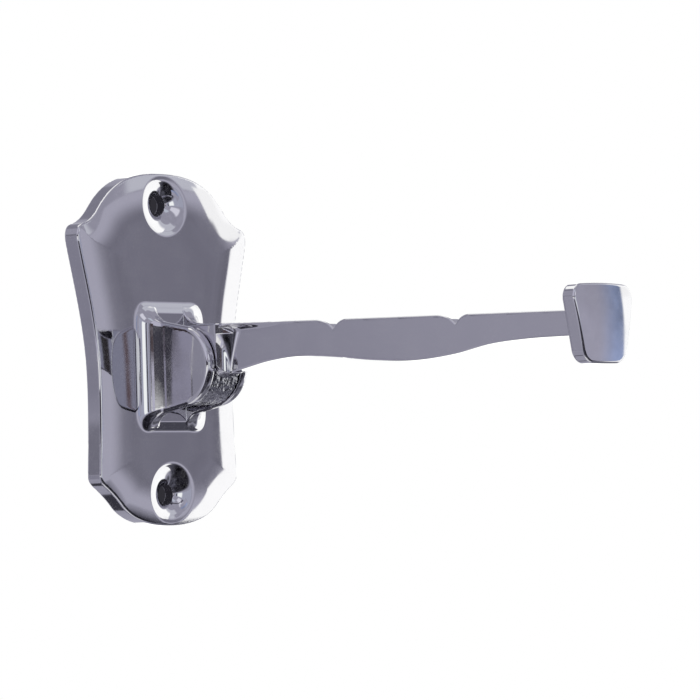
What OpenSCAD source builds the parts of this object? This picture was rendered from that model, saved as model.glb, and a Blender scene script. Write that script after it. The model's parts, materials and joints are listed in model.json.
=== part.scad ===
// Folding valet hook: a shield-shaped wall plate with two ears, and a notched arm that folds up on a pin.
// Millimetres. Z is up, the wall is at Y = 0, and the arm points along -Y.
// The origin is the middle of the plate's back face.

/* [Wall plate] */
// Height of the plate
plate_h = 85; // [76:1:96]
// Thickness of the plate at its middle
plate_t = 5; // [4.5:0.1:6.5]
// Width across the two upper points
shoulder_w = 59; // [56:1:66]
// Width of the waist
waist_w = 46.6; // [44:0.2:50]
// Width across the two lower corners
foot_w = 47.8; // [46:0.2:54]
// How far the upper points lie below the top of the plate
shoulder_drop = 14.2; // [13:0.2:17]
// How far the lower corners lie above the bottom of the plate
foot_rise = 11; // [10:0.2:13]
// How much lower the face is at its rim than at its middle
face_crown = 0.6; // [0.2:0.1:1]
// Radius on the front rim
rim_r = 0.5; // [0.3:0.1:0.8]

/* [Screw holes] */
// Distance between the two holes
hole_pitch = 70; // [64:1:72]
// Diameter of the screw shank's hole
hole_d = 5; // [4:0.1:5.6]
// Diameter of the countersink's mouth
sink_d = 10.2; // [9:0.1:11]
// Width of the polished lip around the countersink
lip_w = 2.6; // [1:0.1:2.8]

/* [Ears] */
// Width over both ears
clevis_w = 14.2; // [13.6:0.1:17]
// Thickness of one ear
ear_t = 2.4; // [2.1:0.1:2.8]
// Radius of the ears' round ends
ear_r = 9.7; // [9.2:0.1:10.4]
// Distance from the plate's face to the centre of the ears' round ends
ear_out = 10; // [9.6:0.1:11]
// How far that centre lies below the middle of the plate
ear_down = 4.6; // [3:0.1:6]
// How far the ears widen toward the plate, in degrees a side
ear_flare = 11; // [8:0.5:13]
// Radius of the fillet between the ears and the plate
root_fillet = 4; // [3:0.1:4.6]
// Radius on the ears' outer edges
ear_edge = 1.3; // [0.8:0.1:1.6]
// Thickness of the web between the ears, in front of the plate's face
web_t = 1; // [0.6:0.1:1.2]

/* [Pivot] */
// Distance from the plate's face to the pin
pivot_out = 10; // [9.9:0.1:11]
// How far the pin lies below the middle of the plate
pivot_down = 3.4; // [2.6:0.1:4.2]
// Diameter of the pin
pin_d = 4.5; // [4:0.1:5]
// Clearance all round the pin in the arm
pin_play = 0.06; // [0.03:0.01:0.1]
// Gap between the arm and each ear
side_play = 0.3; // [0.25:0.05:0.4]
// Gap between the heel of the arm and the web at rest
heel_gap = 0.1; // [0.05:0.05:0.2]
// Gap between the arm's round back and the web
back_gap = 0.3; // [0.2:0.1:0.5]
// How far the arm's round front lies behind the ears' edge
nose_recess = 0.3; // [0.1:0.1:0.6]

/* [Arm] */
// How far the arm reaches from the wall
reach = 140; // [125:1:150]
// Thickness of the blade
blade_t = 3.4; // [2.8:0.1:4]
// Radius on the blade's edges
blade_edge = 0.6; // [0.3:0.1:0.9]
// Height of the blade's upper edge above the pin, at its root
root_top = 8.8; // [8.6:0.05:8.95]
// How much the upper edge drops toward the tip
top_fall = 2.9; // [2:0.1:3.5]
// Distance from the pin to the shoulder where the arm narrows
shoulder_at = 12.6; // [12:0.1:14]
// Distance from the pin to the bottom of the first notch
notch_1_at = 44.8; // [42:0.2:50]
// Distance from the pin to the bottom of the second notch
notch_2_at = 82.1; // [76:0.1:88]
// Depth of a notch
notch_depth = 2.1; // [1.5:0.1:2.6]
// Width of a notch behind its bottom, toward the wall
notch_back_w = 5.5; // [4:0.1:6]
// Width of a notch in front of its bottom
notch_front_w = 3.9; // [3:0.1:5]

/* [End block] */
// Height of the block
block_h = 18.2; // [16:0.2:22]
// Width of the block at its top
block_top_w = 22.4; // [19:0.2:26]
// Width of the block at its bottom
block_foot_w = 14.2; // [12:0.2:17]
// Thickness of the block
block_t = 4.4; // [3.6:0.1:5]
// Radius of the block's upper corners
block_top_r = 3.6; // [2:0.1:4]
// Radius of the block's lower corners
block_foot_r = 2.8; // [1.8:0.1:3.4]
// How far the block rises above the pin
block_rise = 11.8; // [11:0.1:13]

/* [Hidden] */

chrome = "#a3a2ad";
steel = "#8a8794";
// How far a cut runs past what it cuts
cut_over = 1;
curve_fn = 96;

// Plate
half_h = plate_h / 2;
half_shoulder = shoulder_w / 2;
half_waist = waist_w / 2;
half_foot = foot_w / 2;
shoulder_z = half_h - shoulder_drop;
foot_z = foot_rise - half_h;
// How far the waist lies below the middle of the two corners
waist_low = 5.5;
waist_z = (shoulder_z + foot_z) / 2 - waist_low;
curve_steps = 9;
crown_rings = 5;
rim_rings = 3;
// Distance over which the face rises from the rim, as a share of the half size
crown_share = 0.3;
// Where the rings of the flat middle lie, as shares of the way in; the last is under the ears
flat_shares = [0.6, 0.85];
sink_angle = 45;

// Ears and pivot
ear_z = -ear_down;
pin_y = -(plate_t + pivot_out);
pin_z = -pivot_down;
slot_w = clevis_w - 2 * ear_t;
knuckle_w = slot_w - 2 * side_play;
// Radius of the arm's back, which turns past the web
back_r = pivot_out - web_t - back_gap;
// Radius of the arm's lower front, about the centre of the ears' round ends
nose_r = ear_r - nose_recess;
// How far the heel's flat back reaches below the pin
heel_h = 8.5;
// Half height of the ears where they meet the plate
ear_root = ear_r * cos(ear_flare) + tan(ear_flare) * (ear_out + ear_r * sin(ear_flare));
// How deep the ears' solids are sunk into the plate
ear_sunk = 1.5;

// Arm, measured forward of the pin and up from it
tip_at = reach - plate_t - pivot_out;
block_back = tip_at - block_t;
half_blade = blade_t / 2;
half_knuckle = knuckle_w / 2;
// Radius of the hollow in front of the shoulder, and of the shoulder's round, which takes up the rest
shoulder_hollow = 0.8;
shoulder_round = half_knuckle - half_blade - shoulder_hollow;
// Where the spread of the upper edge ends, and how far down it reaches
flare_end = 34;
flare_depth = 2.2;

// A cubic curve through four control points
function bezier(p, t) =
    pow(1 - t, 3) * p[0] + 3 * t * pow(1 - t, 2) * p[1] + 3 * t * t * (1 - t) * p[2] + pow(t, 3) * p[3];

function curve_points(p, n) = [for (i = [0 : n - 1]) bezier(p, i / n)];

// The right half of the plate's outline, from the top of the crown down to the bottom
half_curves = [
    // crown
    [[0, half_h], [10, half_h], [half_shoulder - 13.5, half_h - 2], [half_shoulder - 8.5, half_h - 7.8]],
    // hollow beside the upper point
    [[half_shoulder - 8.5, half_h - 7.8], [half_shoulder - 7.3, half_h - 9.2],
     [half_shoulder - 5.5, shoulder_z + 2.4], [half_shoulder - 2.1, shoulder_z + 1.5]],
    // upper point
    [[half_shoulder - 2.1, shoulder_z + 1.5], [half_shoulder - 0.6, shoulder_z + 1.1],
     [half_shoulder + 0.25, shoulder_z], [half_shoulder - 0.15, shoulder_z - 2.8]],
    // side down to the waist
    [[half_shoulder - 0.15, shoulder_z - 2.8], [half_shoulder - 2.5, shoulder_z - 13],
     [half_waist + 0.3, waist_z + 12], [half_waist, waist_z]],
    // side down to the lower corner
    [[half_waist, waist_z], [half_waist - 0.2, waist_z - 8],
     [half_foot - 0.4, foot_z + 8.5], [half_foot, foot_z + 1.5]],
    // lower corner
    [[half_foot, foot_z + 1.5], [half_foot + 0.1, foot_z + 0.1],
     [half_foot - 0.6, foot_z - 0.7], [half_foot - 1.6, foot_z - 1.4]],
    // hollow beside the lower corner
    [[half_foot - 1.6, foot_z - 1.4], [half_foot - 3.3, foot_z - 2.5],
     [half_foot - 5.6, foot_z - 4.2], [half_foot - 7.7, foot_z - 6.4]],
    // foot
    [[half_foot - 7.7, foot_z - 6.4], [half_foot - 11.1, foot_z - 9.6], [7, -half_h], [0, -half_h]]
];

half_outline = [for (c = half_curves) each curve_points(c, curve_steps)];
half_count = len(half_outline);
// The whole outline, counter-clockwise as seen from the front
outline = concat(
    [for (i = [0 : half_count - 1]) [-half_outline[i].x, half_outline[i].y]],
    [[0, -half_h]],
    [for (i = [half_count - 1 : -1 : 1]) half_outline[i]]
);
outline_count = len(outline);

// The outline's inward direction at a point
function inward(i) =
    let (a = outline[(i + outline_count - 1) % outline_count],
         b = outline[(i + 1) % outline_count],
         d = b - a)
    [-d.y, d.x] / norm(d);

// The outline drawn in by a distance, at a depth from the wall
function drawn_in(inset, y) =
    [for (i = [0 : outline_count - 1]) let (p = outline[i] + inset * inward(i)) [p.x, y, p.y]];

// The outline shrunk toward the middle of the face, at a depth from the wall
function shrunk(inset, share, y) =
    [for (i = [0 : outline_count - 1])
        let (p = (outline[i] + inset * inward(i)) * (1 - share)) [p.x, y, p.y]];

// Faces that join rings of equal length, with both ends closed
function loft_faces(rings, n) = concat(
    [[for (j = [0 : n - 1]) j]],
    [for (i = [0 : rings - 2]) for (j = [0 : n - 1]) [i * n + j, (i + 1) * n + j, (i + 1) * n + (j + 1) % n]],
    [for (i = [0 : rings - 2]) for (j = [0 : n - 1]) [i * n + j, (i + 1) * n + (j + 1) % n, i * n + (j + 1) % n]],
    [[for (j = [n - 1 : -1 : 0]) (rings - 1) * n + j]]
);

module loft(rings) {
    polyhedron([for (r = rings) each r], loft_faces(len(rings), len(rings[0])), convexity = 6);
}

// A flat shape drawn forward and up, made a slab of the given width across X
module across(width) {
    translate([width / 2, 0, 0]) rotate([90, 0, -90]) linear_extrude(width) children();
}

module x_cylinder(d, length) {
    rotate([0, 90, 0]) cylinder(d = d, h = length, center = true, $fn = curve_fn);
}

rim_y = -(plate_t - face_crown - rim_r);
plate_rings = concat(
    [drawn_in(0, 0)],
    [for (k = [0 : rim_rings]) let (a = 90 * k / rim_rings)
        drawn_in(rim_r * (1 - cos(a)), rim_y - rim_r * sin(a))],
    [for (k = [1 : crown_rings]) let (s = k / crown_rings)
        shrunk(rim_r, crown_share * s, rim_y - rim_r - face_crown * (1 - pow(1 - s, 2)))],
    [for (share = flat_shares) shrunk(rim_r, share, -plate_t)]
);

module plate_slab() {
    loft(plate_rings);
}

// Outline of an ear seen from the side, drawn in by a distance: forward of the plate's face, up from its centre
function ear_profile(inset) =
    let (r = ear_r - inset,
         low = -ear_sunk,
         root = r / cos(ear_flare) + tan(ear_flare) * (ear_out - low),
         sweep = 90 - ear_flare,
         n = 24)
    concat(
        [[low, root]],
        [for (i = [0 : n]) let (a = sweep - 2 * sweep * i / n) [ear_out + r * cos(a), r * sin(a)]],
        [[low, -root]]
    );

function ear_ring(inset, x) = [for (p = ear_profile(inset)) [x, -(plate_t + p.x), ear_z + p.y]];

ear_edge_rings = 4;
module ear(side) {
    outer = clevis_w / 2;
    inner = slot_w / 2 - cut_over;
    rings = concat(
        [ear_ring(0, inner)],
        [for (k = [0 : ear_edge_rings]) let (a = 90 * k / ear_edge_rings)
            ear_ring(ear_edge * (1 - cos(a)), outer - ear_edge * (1 - sin(a)))]
    );
    mirror([side < 0 ? 1 : 0, 0, 0]) loft(rings);
}

// The foot that flares from the ears into the plate, arched above and below
foot_corner = 2.2;
foot_corner_steps = 6;
foot_arch = 0.7;
function foot_corner_arc(q, r) =
    let (sx = (q == 0 || q == 3) ? 1 : -1, sz = q < 2 ? 1 : -1)
    [for (k = [0 : foot_corner_steps])
        let (a = 90 * (q + k / foot_corner_steps))
        [sx * (clevis_w / 2 - foot_corner) + r * cos(a), sz * (ear_root - foot_corner) + r * sin(a)]];

function foot_side(sz, r) =
    [for (u = [0.5, 0, -0.5]) [sz * u * (clevis_w - 2 * foot_corner) / 2, sz * (ear_root - foot_corner + r)]];

function foot_ring(grow, y) =
    let (r = foot_corner + grow,
         flat = concat(foot_corner_arc(0, r), foot_side(1, r), foot_corner_arc(1, r),
                       foot_corner_arc(2, r), foot_side(-1, r), foot_corner_arc(3, r)))
    [for (p = flat) [p.x, y, ear_z + p.y - sign(p.y) * foot_arch * pow(2 * p.x / clevis_w, 2)]];

foot_rings = 6;
// How deep the fillet's thin outer edge lies in the plate
foot_sunk = 0.12;
module ear_foot() {
    loft(concat(
        [foot_ring(root_fillet, -(plate_t - ear_sunk))],
        [for (k = [0 : foot_rings])
            let (a = 90 * k / foot_rings)
            foot_ring(root_fillet * (1 - sin(a)), -(plate_t - foot_sunk + root_fillet * (1 - cos(a))))]
    ));
}

// Screw hole: shank, countersink and the lip polished over around it, which crosses the face at a low angle
lip_steps = 5;
lip_over = 0.03;
module screw_hole(z) {
    lip_r = lip_w / sin(sink_angle);
    lip_out = sink_d / 2 + lip_w;
    mouth_z = lip_over - lip_r * (1 - cos(sink_angle));
    sink_z = mouth_z - (sink_d - hole_d) / 2 / tan(sink_angle);
    translate([0, -plate_t, z]) rotate([90, 0, 0]) {
        translate([0, 0, -plate_t - cut_over]) cylinder(d = hole_d, h = plate_t + 2 * cut_over, $fn = curve_fn);
        rotate_extrude($fn = curve_fn) polygon(concat(
            [[0, cut_over], [0, sink_z], [hole_d / 2, sink_z]],
            [for (k = [0 : lip_steps])
                let (a = sink_angle * (1 - k / lip_steps))
                [lip_out - lip_r * sin(a), lip_over - lip_r * (1 - cos(a))]],
            [[lip_out, cut_over]]
        ));
    }
}

module slot() {
    long = 2 * (ear_root + root_fillet) + 2 * cut_over;
    deep = ear_out + ear_r + cut_over;
    translate([-slot_w / 2, -(plate_t + deep), ear_z - long / 2]) cube([slot_w, deep - web_t, long]);
}

module backplate() {
    color(chrome) difference() {
        union() {
            plate_slab();
            difference() {
                union() {
                    ear_foot();
                    ear(1);
                    ear(-1);
                }
                slot();
            }
        }
        screw_hole(hole_pitch / 2);
        screw_hole(-hole_pitch / 2);
        translate([0, pin_y, pin_z]) x_cylinder(pin_d, clevis_w + 2 * cut_over);
    }
}

module pivot_pin() {
    color(steel) translate([0, pin_y, pin_z]) x_cylinder(pin_d, clevis_w);
}

// Height of the arm's upper edge above the pin, before the notches; it dips a little over the pin
dip = 0.5;
dip_end = 8;
function top_line(d) = root_top - top_fall * d / tip_at - dip * pow(max(0, 1 - d / dip_end), 2);

// How far a notch lowers the upper edge: two round shoulders that meet in a sharp V
function notch_drop(d, at) =
    let (w = d < at ? notch_back_w : notch_front_w,
         r = (w * w + pow(notch_depth, 2)) / (2 * notch_depth),
         x = w - abs(d - at))
    x <= 0 ? 0 : r - sqrt(r * r - x * x);

function top_edge(d) = top_line(d) - notch_drop(d, notch_1_at) - notch_drop(d, notch_2_at);

// The lower edge: hollow behind the first notch, a belly between the two, thin toward the tip
low_knots = [
    [-6, -6.7], [7, -4.3], [16, -2.45], [24, -1.05], [33, -0.4], [44, -1.05], [57, -2.45], [69, -3.05],
    [81, -2.2], [92, -0.4], [103, 0.25], [113, 0.3], [124, 0.2], [136, 0.2]
];
// Knots are drawn for this distance from pin to tip, and stretch with the reach
low_drawn = 125;

function low_knot(i) = [low_knots[i].x * tip_at / low_drawn, low_knots[i].y];

function low_span(d, i = 1) = i >= len(low_knots) - 3 || d < low_knot(i + 1).x ? i : low_span(d, i + 1);

function low_edge(d) =
    let (i = low_span(d),
         a = low_knot(i - 1), b = low_knot(i), c = low_knot(i + 1), e = low_knot(i + 2),
         w = c.x - b.x,
         t = min(1, max(0, (d - b.x) / w)),
         mb = (c.y - a.y) / (c.x - a.x) * w,
         mc = (e.y - b.y) / (e.x - b.x) * w)
    (2 * pow(t, 3) - 3 * t * t + 1) * b.y + (pow(t, 3) - 2 * t * t + t) * mb
        + (3 * t * t - 2 * pow(t, 3)) * c.y + (pow(t, 3) - t * t) * mc;

// Half thickness of the arm: the knuckle's, a round shoulder, a hollow, then the blade's
function half_thick(d) =
    d < shoulder_at - shoulder_round ? half_knuckle
    : d < shoulder_at
        ? half_knuckle - shoulder_round
            + sqrt(max(0, pow(shoulder_round, 2) - pow(d - shoulder_at + shoulder_round, 2)))
    : d < shoulder_at + shoulder_hollow
        ? half_blade + shoulder_hollow
            - sqrt(max(0, pow(shoulder_hollow, 2) - pow(shoulder_at + shoulder_hollow - d, 2)))
    : half_blade;

// Half width of the upper edge, which spreads from the blade to the knuckle
flare_power = 2.2;
function half_top(d) =
    let (share = max(0, (flare_end - d) / (flare_end - shoulder_at)))
    max(half_thick(d), half_blade + (half_knuckle - half_blade) * pow(share, flare_power));

edge_steps = 3;
// One cross-section of the arm, at a distance forward of the pin
function arm_section(d) =
    let (top = top_edge(d), low = low_edge(d), w = half_thick(d), wt = min(half_knuckle, half_top(d)),
         e = blade_edge,
         right = concat(
            [for (k = [0 : edge_steps]) let (a = -90 + 90 * k / edge_steps) [w - e + e * cos(a), low + e + e * sin(a)]],
            [[w, top - flare_depth - e]],
            [for (k = [0 : edge_steps]) let (a = 90 * k / edge_steps) [wt - e + e * cos(a), top - e + e * sin(a)]]
         ),
         n = len(right))
    [for (i = [0 : 2 * n - 1]) let (p = i < n ? right[i] : right[2 * n - 1 - i], s = i < n ? 1 : -1)
        [s * p.x, pin_y - d, pin_z + p.y]];

notch_steps = 6;
function notch_stations(at) =
    [for (k = [-notch_steps : notch_steps]) at + (k < 0 ? notch_back_w : notch_front_w) * k / notch_steps];

shoulder_steps = 5;
root_at = 7.5;
stations = concat(
    [root_at, (root_at + shoulder_at - shoulder_round) / 2],
    [for (k = [0 : shoulder_steps]) shoulder_at - shoulder_round * cos(90 * k / shoulder_steps)],
    [for (k = [1 : shoulder_steps]) shoulder_at + shoulder_hollow * (1 - cos(90 * k / shoulder_steps))],
    [for (d = [shoulder_at + shoulder_hollow + 2 : 2.5 : notch_1_at - notch_back_w - 1]) d],
    notch_stations(notch_1_at),
    [for (d = [notch_1_at + notch_front_w + 2.5 : 2.5 : notch_2_at - notch_back_w - 1]) d],
    notch_stations(notch_2_at),
    [for (d = [notch_2_at + notch_front_w + 2.5 : 2.5 : block_back - 1]) d],
    [block_back + block_t / 2]
);

module blade() {
    loft([for (d = stations) arm_section(d)]);
}

// The knuckle between the ears: its back is round about the pin, its lower front follows the ears' round ends,
// and its square heel stops the arm level
module knuckle() {
    heel_back = -(pivot_out - web_t - heel_gap);
    nose_x = ear_out - pivot_out;
    nose_y = pivot_down - ear_down;
    translate([0, pin_y, pin_z]) across(knuckle_w) {
        difference() {
            circle(r = back_r, $fn = curve_fn);
            translate([-back_r, top_line(0)]) square([2 * back_r, back_r]);
        }
        intersection() {
            translate([nose_x, nose_y]) circle(r = nose_r, $fn = curve_fn);
            translate([heel_back, nose_y - nose_r]) square([nose_r + nose_x - heel_back, nose_r]);
        }
        translate([heel_back, -heel_h]) square([-heel_back, heel_h]);
        polygon(concat(
            [[0, 0], [0, top_line(0)]],
            [for (d = [2 : 2 : root_at + 2]) [d, top_line(d)]],
            [[root_at + 2, low_edge(root_at + 2)], [root_at - 1, low_edge(root_at - 1)]]
        ));
    }
}

// A disc of the block's thickness with rounded edges
block_soft = 0.9;
module soft_disc(r) {
    for (a = [0, 45, 90]) {
        from_face = block_soft * (1 - cos(a));
        from_side = block_soft * (1 - sin(a));
        translate([0, 0, from_face]) cylinder(r = r - from_side, h = block_t - 2 * from_face, $fn = 32);
    }
}

// The flared block that keeps a coat on the arm, slightly arched above and below
block_arch = 0.5;
module end_block() {
    top_x = block_top_w / 2 - block_top_r;
    foot_x = block_foot_w / 2 - block_foot_r;
    top_z = block_rise - block_top_r;
    foot_z = block_rise - block_h + block_foot_r;
    spread = [-1, -0.5, 0, 0.5, 1];
    discs = concat(
        [for (u = spread) [u * top_x, top_z - block_arch * u * u, block_top_r]],
        [for (u = spread) [u * foot_x, foot_z + block_arch * u * u, block_foot_r]]
    );
    hull() for (c = discs) translate([c.x, pin_y - block_back, pin_z + c.y]) rotate([90, 0, 0]) soft_disc(c.z);
}

module arm() {
    color(chrome) difference() {
        union() {
            knuckle();
            blade();
            end_block();
        }
        translate([0, pin_y, pin_z]) x_cylinder(pin_d + 2 * pin_play, knuckle_w + 2 * cut_over);
    }
}

backplate();
arm();
pivot_pin();
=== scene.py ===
"""The looks of a folding coat hook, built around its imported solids.

The two castings are described as signed distances: a function that is negative inside the metal, zero on its
skin and positive outside. Round joins between such functions give the fillets and soft edges of a polished
casting, and a net laid over the zero surface gives the mesh. Inside the shape classes a point is (x, out, up)
in millimetres: across the plate, forward of the wall, and up. Finished meshes are in metres, in the part's
frame.
"""

import json
import logging
import math
from dataclasses import dataclass, field
from enum import Enum
from itertools import product
from typing import Any, Callable, Sequence

import bpy
import numpy as np
from bpy.types import Material, Mesh, NodeSocket, NodeTree, Object
from mathutils import Matrix, Vector


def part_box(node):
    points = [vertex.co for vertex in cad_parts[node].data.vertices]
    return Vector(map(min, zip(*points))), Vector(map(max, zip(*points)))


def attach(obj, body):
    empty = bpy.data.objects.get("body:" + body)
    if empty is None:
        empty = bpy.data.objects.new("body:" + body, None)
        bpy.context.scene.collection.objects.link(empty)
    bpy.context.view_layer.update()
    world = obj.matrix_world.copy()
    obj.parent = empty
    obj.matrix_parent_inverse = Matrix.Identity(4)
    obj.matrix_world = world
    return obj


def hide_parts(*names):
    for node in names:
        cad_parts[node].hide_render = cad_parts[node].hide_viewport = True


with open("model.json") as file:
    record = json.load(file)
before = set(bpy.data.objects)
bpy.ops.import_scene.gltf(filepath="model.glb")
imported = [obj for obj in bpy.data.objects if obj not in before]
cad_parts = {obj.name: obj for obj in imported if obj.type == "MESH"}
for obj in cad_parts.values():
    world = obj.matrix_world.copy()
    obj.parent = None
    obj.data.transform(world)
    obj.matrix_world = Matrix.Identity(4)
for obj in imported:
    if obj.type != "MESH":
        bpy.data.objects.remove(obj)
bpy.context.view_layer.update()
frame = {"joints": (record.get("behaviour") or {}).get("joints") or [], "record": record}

MM = 0.001
TINY = 1e-6

# How many cells a net starts before its shape's box and ends behind it: no corner falls on the flat back
NET_START, NET_END = 2.3, 3.0
# How often a net's points are drawn onto the surface, and the least squared slope that they go by
SETTLE_ROUNDS, LEAST_SLOPE = 3, 0.2

Array = np.ndarray
Span = tuple[float, float]
Shape = Callable[[Array], Array]

log = logging.getLogger("coat_hook")


def linear(hex_code: str) -> tuple[float, float, float, float]:
    """Turns an sRGB hex colour into linear values.

    Args:
        hex_code: Colour such as "#a1b2c3".

    Returns:
        Linear red, green, blue and an alpha of 1.
    """
    parts = [int(hex_code[i:i + 2], 16) / 255 for i in (1, 3, 5)]
    flat = [p / 12.92 if p <= 0.04045 else ((p + 0.055) / 1.055) ** 2.4 for p in parts]
    return flat[0], flat[1], flat[2], 1.0


def round_join(a: Array, b: Array, radius: float) -> Array:
    """Joins two shapes, given as signed distances, with a fillet of a radius between them."""
    near = np.hypot(np.maximum(radius - a, 0), np.maximum(radius - b, 0))
    return np.maximum(radius, np.minimum(a, b)) - near


def round_cut(a: Array, b: Array, radius: float) -> Array:
    """Keeps what lies in both shapes, with an edge of a radius where their surfaces meet."""
    near = np.hypot(np.maximum(radius + a, 0), np.maximum(radius + b, 0))
    return np.minimum(-radius, np.maximum(a, b)) + near


def slope_of(shape: Shape, points: Array, reach: float = 0.01) -> Array:
    """Measures how a signed distance grows around each point.

    Args:
        shape: Signed distance of points.
        points: Places to measure at, one a row.
        reach: Distance over which it is measured.

    Returns:
        The gradient at each point, one a row.
    """
    total = np.zeros_like(points)
    for way in ((1, 1, 1), (1, -1, -1), (-1, 1, -1), (-1, -1, 1)):
        total += np.array(way) * shape(points + reach * np.array(way))[:, None]
    return total / (4 * reach)


@dataclass
class Skin:
    """A mesh laid over a signed distance: its points, its four-sided faces and the true normals."""

    points: Array
    faces: Array
    normals: Array


def lay_net(shape: Shape, low: Sequence[float], high: Sequence[float], step: float) -> Skin:
    """Lays a net of four-sided faces over the surface of a shape.

    Args:
        shape: Signed distance of points.
        low: Lowest corner of the box that holds the shape.
        high: Highest corner of that box.
        step: Width of the net's cells.

    Returns:
        The mesh, with each point on the true surface.
    """
    axes = [np.arange(a - NET_START * step, b + NET_END * step, step) for a, b in zip(low, high)]
    sheet = np.stack(np.meshgrid(axes[1], axes[2], indexing="ij"), -1).reshape(-1, 2)
    values = np.empty([len(a) for a in axes], np.float32)
    for i, x in enumerate(axes[0]):
        values[i] = shape(np.column_stack((np.full(len(sheet), x), sheet))).reshape(values.shape[1:])
    inside = values < 0

    # The surface passes through the cells that have corners on both sides of it
    corners = [np.array(c) for c in product((0, 1), repeat=3)]
    size = np.array(values.shape) - 1
    count = sum(inside[tuple(slice(c[k], c[k] + size[k]) for k in range(3))].astype(np.int8) for c in corners)
    active = (count > 0) & (count < 8)
    cells = np.argwhere(active)
    number = np.full(active.shape, -1, np.int64)
    number[active] = np.arange(len(cells))

    # Each such cell gets a point, in the middle of where the surface crosses its edges
    total, hits = np.zeros((len(cells), 3)), np.zeros(len(cells))
    for a, b in product(corners, corners):
        if (b - a).sum() != 1 or (b - a).min() < 0:
            continue
        va, vb = values[tuple((cells + a).T)], values[tuple((cells + b).T)]
        crossed = (va < 0) != (vb < 0)
        share = np.where(crossed, va / np.where(crossed, va - vb, 1), 0)
        total += crossed[:, None] * (a + share[:, None] * (b - a))
        hits += crossed
    points = np.array([a[0] for a in axes]) + step * (cells + total / hits[:, None])

    # Each edge that the surface crosses is ringed by four cells, which give a face
    faces = []
    for axis in range(3):
        ahead = np.eye(3, dtype=int)[axis]
        one, two = np.eye(3, dtype=int)[(axis + 1) % 3], np.eye(3, dtype=int)[(axis + 2) % 3]
        begin = inside[tuple(slice(0, n - s) for n, s in zip(inside.shape, ahead))]
        end = inside[tuple(slice(s, n) for n, s in zip(inside.shape, ahead))]
        edges = np.argwhere(begin != end)
        leaves = begin[tuple(edges.T)]
        ring = [number[tuple((edges - offset).T)] for offset in (one + two, two, one * 0, one)]
        quad = np.stack(ring, 1)
        faces.append(np.where(leaves[:, None], quad, quad[:, ::-1]))

    for _ in range(SETTLE_ROUNDS):
        slope = slope_of(shape, points)
        move = shape(points)[:, None] * slope / np.maximum((slope ** 2).sum(1), LEAST_SLOPE)[:, None]
        points = points - np.clip(move, -0.5 * step, 0.5 * step)
    slope = slope_of(shape, points)
    return Skin(points, np.concatenate(faces), slope / np.linalg.norm(slope, axis=1)[:, None])


def add_object(name: str, data: Any) -> Object:
    """Makes an object and links it to the scene.

    Args:
        name: Name of the object.
        data: Its mesh, lamp or camera.

    Returns:
        The object, at the origin.
    """
    made = bpy.data.objects.new(name, data)
    bpy.context.scene.collection.objects.link(made)
    return made


def mesh_from(skin: Skin, name: str) -> Object:
    """Makes an object of a skin, in metres and in the part's frame.

    Args:
        skin: Mesh in (x, out, up) millimetres.
        name: Name of the object.

    Returns:
        The object, linked to the scene, with its point normals kept as an attribute.
    """
    mesh = bpy.data.meshes.new(name)
    place = skin.points * (MM, -MM, MM)
    mesh.from_pydata(place.tolist(), [], skin.faces[:, ::-1].tolist())
    mesh.shade_smooth()
    true_way = mesh.attributes.new("true_way", "FLOAT_VECTOR", "POINT")
    true_way.data.foreach_set("vector", (skin.normals * (1, -1, 1)).astype(np.float32).ravel())
    return add_object(name, mesh)


def keep_true_normals(piece: Object, rough: Array | None = None) -> None:
    """Shades a piece with the true normals of its shape, so that its reflections run clean.

    Args:
        piece: Object made by mesh_from.
        rough: Share, for each point, of the mesh's own normal instead, or None for no share.
    """
    mesh = piece.data
    true_way = mesh.attributes["true_way"]
    normals = np.empty(len(mesh.vertices) * 3, np.float32)
    true_way.data.foreach_get("vector", normals)
    normals = normals.reshape(-1, 3)
    if rough is not None:
        own = np.array([v.normal for v in mesh.vertices])
        normals = normals * (1 - rough)[:, None] + own * rough[:, None]
    mesh.attributes.remove(true_way)
    mesh.normals_split_custom_set_from_vertices(normals.tolist())


def add_node(tree: Any, kind: str, settings: dict[str, Any] | None = None, **inputs: Any) -> Any:
    """Adds a node to a tree, with its settings and links.

    Args:
        tree: Node tree to add to.
        kind: Node type name.
        settings: Properties of the node itself.
        inputs: Socket values or other nodes' outputs, by name with _ for a space, or by i and a number.

    Returns:
        The new node.
    """
    node = tree.nodes.new(kind)
    for name, value in (settings or {}).items():
        setattr(node, name, value)
    for name, value in inputs.items():
        numbered = name[0] == "i" and name[1:].isdigit()
        socket = node.inputs[int(name[1:]) if numbered else name.replace("_", " ")]
        if isinstance(value, NodeSocket):
            tree.links.new(value, socket)
        else:
            socket.default_value = value
    return node


def calculate(tree: Any, operation: str, first: Any, second: Any) -> Any:
    """Adds a node that calculates with two values, and gives its output."""
    return add_node(tree, "ShaderNodeMath", {"operation": operation}, i0=first, i1=second).outputs[0]


def new_material(name: str) -> tuple[Material, Any, Any]:
    """Makes an empty material.

    Args:
        name: Name of the real finish.

    Returns:
        The material, its node tree and its output node.
    """
    material = bpy.data.materials.new(name)
    material.use_nodes = True
    tree = material.node_tree
    tree.nodes.clear()
    return material, tree, tree.nodes.new("ShaderNodeOutputMaterial")


class Surface(Enum):
    """How the plated metal under the chrome was worked."""

    BUFFED = "buffed to a mirror"
    AS_CAST = "left as it came from the mould"
    TURNED = "turned and ground"


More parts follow.
